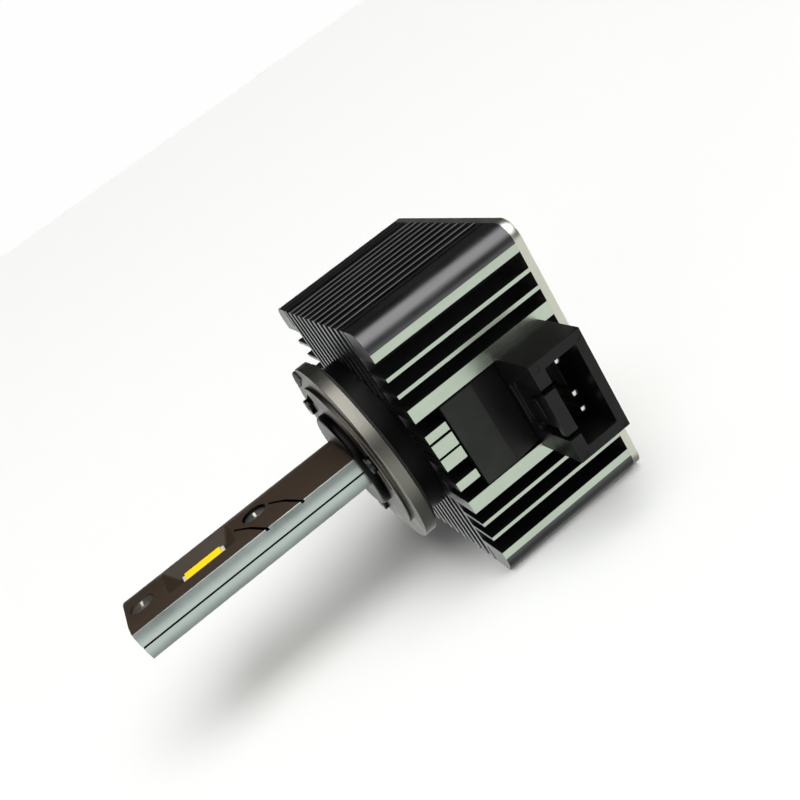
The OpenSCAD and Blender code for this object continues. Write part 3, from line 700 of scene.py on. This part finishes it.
# %% Socket cover: spark-eroded skin on its flat face, smooth nylon on the ramp and the sides
work = merged("connector_base")
round_edges(work, 0.15)
cover_top = mm_box("connector_base")[0].y
for face in work.faces:
    flat = face.normal.y < -0.98 and abs(face.calc_center_median().y / MM - cover_top) < 0.05
    face.material_index = 1 if flat else 0
settle(to_piece(work, "socket_cover", [nylon, nylon_textured]), "bulb", "black_nylon", "connector_base")

# %% Contact pins, with chamfered tips that find their way into the plug
work = merged("contact_pins")
round_edges(work, 0.20, steps=2)
settle(to_piece(work, "pins", [brass]), "bulb", "tinned_brass", "contact_pins")

# %% [markdown]
# ## Rear plate
# A stamped aluminium sheet closes the back. Three rings of slots let the fan breathe, four spokes
# carry them, and four countersunk screws hold the corners. It is left bare, so its edge shows pale.

# %% Rear plate and fan frame
for name, node, material, slot, radius in (
        ("rear_cover", "rear_plate", bare_plate, "bare_aluminium", 0.14),
        ("fan_housing", "fan_frame", fan_plastic, "black_nylon", 0.10)):
    work = merged(node)
    round_edges(work, radius)
    settle(to_piece(work, name, [material]), "bulb", slot, node)


# %% [markdown]
# ## Screws
# Every screw is a copy of one good one, so one node tree sets them all: it takes a set of points,
# each with the direction its head faces, and puts the screw there. The screw itself is turned from
# a profile, and its cross or hexagon is punched into the head.

# %% A turned shape and a screw
def turned(name, profile, steps=40):
    """A closed shape turned round Z from (radius, height) points in mm, from the top to the bottom."""
    work = bmesh.new()
    rings = []
    for radius, height in profile:
        if radius < 1e-6:
            rings.append([work.verts.new((0, 0, height * MM))])
        else:
            rings.append([work.verts.new((radius * math.cos(2 * math.pi * i / steps) * MM,
                                          radius * math.sin(2 * math.pi * i / steps) * MM,
                                          height * MM)) for i in range(steps)])
    for upper, lower in zip(rings, rings[1:]):
        for i in range(steps):
            j = (i + 1) % steps
            corners = [upper[i % len(upper)], lower[i % len(lower)],
                       lower[j % len(lower)], upper[j % len(upper)]]
            work.faces.new(list(dict.fromkeys(corners)))
    bmesh.ops.recalc_face_normals(work, faces=work.faces)
    mesh = bpy.data.meshes.new(name)
    work.to_mesh(mesh)
    work.free()
    return link(name, mesh)


def cross_tool(reach, width, depth, quarter):
    """One bar of a cross recess: it narrows toward its foot, as the punch does."""
    work = bmesh.new()
    bmesh.ops.create_cube(work, size=2.0)
    for v in work.verts:
        foot = 0.45 if v.co.z < 0 else 1.0
        v.co = Vector((v.co.x * reach * foot, v.co.y * width / 2 * (0.7 if foot < 1 else 1),
                       (v.co.z + 0.15) * depth / 0.85)) * MM
    bmesh.ops.rotate(work, verts=work.verts, matrix=Matrix.Rotation(quarter * math.pi / 2, 3, "Z"))
    mesh = bpy.data.meshes.new("cross")
    work.to_mesh(mesh)
    work.free()
    return link("cross", mesh)


def screw(name, head_r, head_t, shank_r, shank_l, dome, recess, sides=0, painted_recess_shade=False):
    """A screw that faces +Z with its head's rim at height 0. recess is (reach, width, depth)."""
    lip = 0.12
    top = [(0, dome), (head_r * 0.45, dome * 0.85), (head_r * 0.8, dome * 0.4), (head_r - lip / 2, 0),
           (head_r, -lip)]
    under = [(shank_r, -head_t)] if painted_recess_shade else [(head_r, lip - head_t), (head_r - lip / 2, -head_t),
                                               (shank_r, -head_t)]
    made = turned(name, top + under + [(shank_r, -head_t - shank_l), (0, -head_t - shank_l)])
    reach, width, depth = recess
    if sides:
        work = bmesh.new()
        bmesh.ops.create_cone(work, cap_ends=True, segments=sides, radius1=reach * MM, radius2=reach * MM,
                              depth=2 * depth * MM)
        mesh = bpy.data.meshes.new("key")
        work.to_mesh(mesh)
        work.free()
        cut(made, link("key_tool", mesh))
    else:
        for quarter in (0, 1):
            cut(made, cross_tool(reach, width, depth, quarter))
    return made


# %% The tree that sets screws on points
screws, ins, out = recipe("screws on points", [
    ("Geometry", "NodeSocketGeometry"), ("Screw", "NodeSocketObject"), ("Material", "NodeSocketMaterial")])
screw_in = add(screws, "GeometryNodeObjectInfo", {"Object": ins.outputs["Screw"]})
facing = add(screws, "GeometryNodeInputNamedAttribute", {"Name": "facing"}, data_type="FLOAT_VECTOR")
aim = add(screws, "FunctionNodeAlignRotationToVector", {"Vector": facing.outputs["Attribute"]}, axis="Z")
set_screws = add(screws, "GeometryNodeInstanceOnPoints", {
    "Points": ins.outputs["Geometry"], "Instance": screw_in.outputs["Geometry"], "Rotation": aim.outputs[0]})
close_recipe(screws, out, set_screws.outputs[0], ins.outputs["Material"])


def islands(node):
    """The box of each separate solid of a CAD node, as (lowest, highest) in mm."""
    work = merged(node)
    left, found = set(work.verts), []
    while left:
        group, queue = set(), [left.pop()]
        while queue:
            v = queue.pop()
            group.add(v)
            for e in v.link_edges:
                other = e.other_vert(v)
                if other in left:
                    left.remove(other)
                    queue.append(other)
        spots = [v.co / MM for v in group]
        found.append(tuple(Vector([pick(s[i] for s in spots) for i in range(3)]) for pick in (min, max)))
    work.free()
    return sorted(found, key=lambda box: [round(c, 2) for c in box[0]])


def set_screws_on(name, spots, one, material, body, slot, node):
    """spots is a list of (place in mm, direction the head faces)."""
    points = bpy.data.meshes.new(name + "_points")
    points.from_pydata([Vector(p) * MM for p, d in spots], [], [])
    facing = points.attributes.new("facing", "FLOAT_VECTOR", "POINT")
    for row, (p, d) in zip(facing.data, spots):
        row.vector = d
    made = run_recipe(name, screws, {"Screw": one, "Material": material}, points)
    shade(made, over_deg=30)
    bpy.data.objects.remove(one)
    settle(made, body, slot, node)


# %% All the screws that show
DOME = 0.32
stem_spots = []
for low, high in islands("stem_screws"):
    x, y = (low.x + high.x) / 2, (low.y + high.y) / 2
    stem_spots += [((x, y, high.z - DOME), (0, 0, 1)), ((x, y, low.z + DOME), (0, 0, -1))]
stem_screw = screw("stem_screw", STEM_HEAD_RADIUS, 0.62, 0.8, 1.9, DOME, (1.15, 0.52, 0.50))
set_screws_on("stem_screw_set", stem_spots, stem_screw, nickel, "bulb", "bright_steel", "stem_screws")

plate_spots = [((high.x, (low.y + high.y) / 2, (low.z + high.z) / 2), (1, 0, 0))
               for low, high in islands("rear_plate_screws")]
plate_screw = screw("plate_screw", 1.62, 0.55, 0.75, 4.4, 0.0, (0.95, 0.42, 0.42), painted_recess_shade=True)
set_screws_on("plate_screw_set", plate_spots, plate_screw, black_steel, "bulb", "black_steel",
              "rear_plate_screws")

ring_spots = [((low.x, (low.y + high.y) / 2, (low.z + high.z) / 2), (-1, 0, 0))
              for low, high in islands("flange_screws")]
ring_screw = screw("ring_screw", 1.35, 0.7, 0.65, 5.4, 0.0, (0.62, 0, 0.4), sides=6)
set_screws_on("ring_screw_set", ring_spots, ring_screw, black_steel, "bulb", "black_steel", "flange_screws")

fan_spots = [((high.x, (low.y + high.y) / 2, (low.z + high.z) / 2), (1, 0, 0))
             for low, high in islands("fan_screws")]
fan_screw = screw("fan_screw", 1.0, 0.5, 0.55, 2.6, 0.0, (0.6, 0.26, 0.26))
set_screws_on("fan_screw_set", fan_spots, fan_screw, nickel, "bulb", "bright_steel", "fan_screws")
print("Stem screws at", [tuple(round(c, 2) for c in p) for p, d in stem_spots])

# %% [markdown]
# ## Fan
# Nine thin cambered blades stand on a moulded cup that spins round a small four-pole motor. A blade
# lies flatter at its tip than at its root, because the tip moves faster. One blade is worked out
# point by point, and a second tree repeats it round the axis. The same tree repeats the wire coils
# of the motor, which are a thin round section swept along a spiral.

# %% The tree that repeats a shape round the bulb's axis
ring, ins, out = recipe("ring of copies", [
    ("Geometry", "NodeSocketGeometry"), ("Copies", "NodeSocketInt"), ("Start angle", "NodeSocketFloat"),
    ("Shape", "NodeSocketObject"), ("Material", "NodeSocketMaterial")])
shape_in = add(ring, "GeometryNodeObjectInfo", {"Object": ins.outputs["Shape"]})
spots = add(ring, "GeometryNodeMeshLine", {"Count": ins.outputs["Copies"], "Offset": (0, 0, 0)})
number = add(ring, "GeometryNodeInputIndex")
share = add(ring, "ShaderNodeMath", {0: number.outputs[0], 1: ins.outputs["Copies"]}, operation="DIVIDE")
angle = add(ring, "ShaderNodeMath", {0: share.outputs[0], 1: 2 * math.pi, 2: ins.outputs["Start angle"]},
            operation="MULTIPLY_ADD")
about_x = add(ring, "ShaderNodeCombineXYZ", {"X": angle.outputs[0]})
spin = add(ring, "FunctionNodeEulerToRotation", {"Euler": about_x.outputs[0]})
copies = add(ring, "GeometryNodeInstanceOnPoints", {
    "Points": spots.outputs[0], "Instance": shape_in.outputs["Geometry"], "Rotation": spin.outputs[0]})
close_recipe(ring, out, copies.outputs[0], ins.outputs["Material"])

# %% One blade
rotor_low, rotor_high = mm_box("fan_rotor")
rotor_x = (rotor_low.x + rotor_high.x) / 2
BLADE_COUNT = 9
HUB_RADIUS = 6.3
ROOT_RADIUS = HUB_RADIUS - 0.25
TIP_RADIUS = 11.86
BLADE_REACH = 2.4
ROOT_PITCH, TIP_PITCH = math.radians(34), math.radians(50)
CAMBER = 0.09
BLADE_THICK = 0.5
AROUND, OUTWARD = 14, 10

work = bmesh.new()
skins = []
for face_side in (1, -1):
    skin = []
    for k in range(OUTWARD + 1):
        out_share = k / OUTWARD
        radius = ROOT_RADIUS + (TIP_RADIUS - ROOT_RADIUS) * out_share
        pitch = ROOT_PITCH + (TIP_PITCH - ROOT_PITCH) * out_share
        chord = 2 * BLADE_REACH / math.cos(pitch)
        line = []
        for i in range(AROUND + 1):
            s = 2 * i / AROUND - 1
            bow = CAMBER * chord * (1 - s * s)
            thick = BLADE_THICK / 2 * (0.30 + 0.70 * (1 - s * s) ** 0.5)
            off = bow + face_side * thick - CAMBER * chord / 2
            x = s * chord / 2 * math.cos(pitch) - off * math.sin(pitch) * 0.4
            round_way = (s * chord / 2 * math.sin(pitch) + off * math.cos(pitch)) / radius
            line.append(work.verts.new(Vector((rotor_x + x, radius * math.sin(round_way),
                                               radius * math.cos(round_way))) * MM))
        skin.append(line)
    skins.append(skin)
for skin in skins:
    for k in range(OUTWARD):
        for i in range(AROUND):
            work.faces.new((skin[k][i], skin[k][i + 1], skin[k + 1][i + 1], skin[k + 1][i]))
top, under = skins
for i in range(AROUND):
    for k in (0, OUTWARD):
        work.faces.new((top[k][i], top[k][i + 1], under[k][i + 1], under[k][i]))
for k in range(OUTWARD):
    for i in (0, AROUND):
        work.faces.new((top[k][i], top[k + 1][i], under[k + 1][i], under[k][i]))
bmesh.ops.recalc_face_normals(work, faces=work.faces)
mesh = bpy.data.meshes.new("blade")
work.to_mesh(mesh)
work.free()
one_blade = link("one_blade", mesh)

# %% All the blades, and the cup that carries them
fan_blades = run_recipe("fan_blades", ring, {"Copies": BLADE_COUNT, "Start angle": 0.0, "Shape": one_blade,
                                             "Material": fan_plastic})
bpy.data.objects.remove(one_blade)
shade(fan_blades, over_deg=50)

CUP_WALL = 0.7
CUP_END = 0.8
shaft_r = mm_box("fan_shaft")[1].z
half_l = (rotor_high.x - rotor_low.x) / 2
cup = turned("fan_cup", [
    (0, half_l - 0.25), (1.6, half_l - 0.25), (1.9, half_l), (HUB_RADIUS - 0.8, half_l),
    (HUB_RADIUS - 0.3, half_l - 0.15), (HUB_RADIUS - 0.06, half_l - 0.5), (HUB_RADIUS, half_l - 0.9),
    (HUB_RADIUS, -half_l + 0.1), (HUB_RADIUS - 0.1, -half_l), (HUB_RADIUS - CUP_WALL, -half_l),
    (HUB_RADIUS - CUP_WALL, half_l - CUP_END), (shaft_r + 0.5, half_l - CUP_END),
    (shaft_r + 0.5, half_l - CUP_END - 0.3), (0, half_l - CUP_END - 0.3)], steps=72)
cup.data.transform(Matrix.Translation((rotor_x * MM, 0, 0)) @ Matrix.Rotation(math.pi / 2, 4, "Y"))
cup.data.materials.append(fan_plastic)
shade(cup, over_deg=45)
settle(cup, "rotor", "black_nylon", "fan_rotor")
settle(fan_blades, "rotor", "black_nylon")

# %% The tree that winds wire
wind, ins, out = recipe("wire coil", [
    ("Geometry", "NodeSocketGeometry"), ("Turns", "NodeSocketFloat"), ("Radius", "NodeSocketFloat"),
    ("Length", "NodeSocketFloat"), ("Wire radius", "NodeSocketFloat"), ("Material", "NodeSocketMaterial")])
spiral = add(wind, "GeometryNodeCurveSpiral", {
    "Resolution": 20, "Rotations": ins.outputs["Turns"], "Start Radius": ins.outputs["Radius"],
    "End Radius": ins.outputs["Radius"], "Height": ins.outputs["Length"]})
wire_section = add(wind, "GeometryNodeCurvePrimitiveCircle",
                   {"Resolution": 6, "Radius": ins.outputs["Wire radius"]})
wire = add(wind, "GeometryNodeCurveToMesh",
           {"Curve": spiral.outputs[0], "Profile Curve": wire_section.outputs[0], "Fill Caps": True})
close_recipe(wind, out, wire.outputs[0], ins.outputs["Material"])

# %% Motor coils
stator_low, stator_high = mm_box("fan_stator")
COIL_RADIUS = 0.95
coil = run_recipe("coil", wind, {"Turns": 7.0, "Radius": COIL_RADIUS * MM, "Length": 1.4 * MM,
                                 "Wire radius": 0.10 * MM, "Material": copper})
stretch = Matrix.Diagonal((1.35, 1.0, 1.0, 1.0))
spot = Vector(((stator_low.x + stator_high.x) / 2, 0, 2.75)) * MM
coil.data.transform(Matrix.Translation(spot) @ stretch)
motor_coils = run_recipe("motor_coils", ring, {"Copies": 4, "Start angle": 0.0, "Shape": coil,
                                               "Material": copper})
bpy.data.objects.remove(coil)
shade(motor_coils, over_deg=60)
settle(motor_coils, "bulb", "copper")

# %% Choke winding on the driver board, in the waist of the drum core
core_low, core_high = mm_box("driver_inductor")
choke = run_recipe("choke_winding", wind, {"Turns": 6.0, "Radius": 2.42 * MM, "Length": 1.5 * MM,
                                           "Wire radius": 0.12 * MM, "Material": copper})
spot = Vector(((core_low.x + core_high.x) / 2, core_low.y + 2.95, (core_low.z + core_high.z) / 2)) * MM
choke.data.transform(Matrix.Translation(spot) @ Matrix.Rotation(math.pi / 2, 4, "X"))
shade(choke, over_deg=60)
settle(choke, "bulb", "copper")

# %% [markdown]
# ## Parts that keep their CAD shape
# The rest sits inside and its shape is right as it is. Each one only gets its finish.

# %% Finishes of the inner parts
for node, material in (
        ("collar_screws", nickel), ("link_strips", copper), ("driver_board", board_resin),
        ("driver_inductor", ferrite), ("driver_capacitor", can_sleeve), ("driver_chips", epoxy),
        ("thermal_pad", gap_pad), ("fan_board", board_resin), ("fan_stator", black_steel),
        ("fan_bearing", bronze), ("fan_magnet", magnet_resin), ("fan_shaft", nickel)):
    for material_slot in nodes[node].material_slots:
        material_slot.material = material
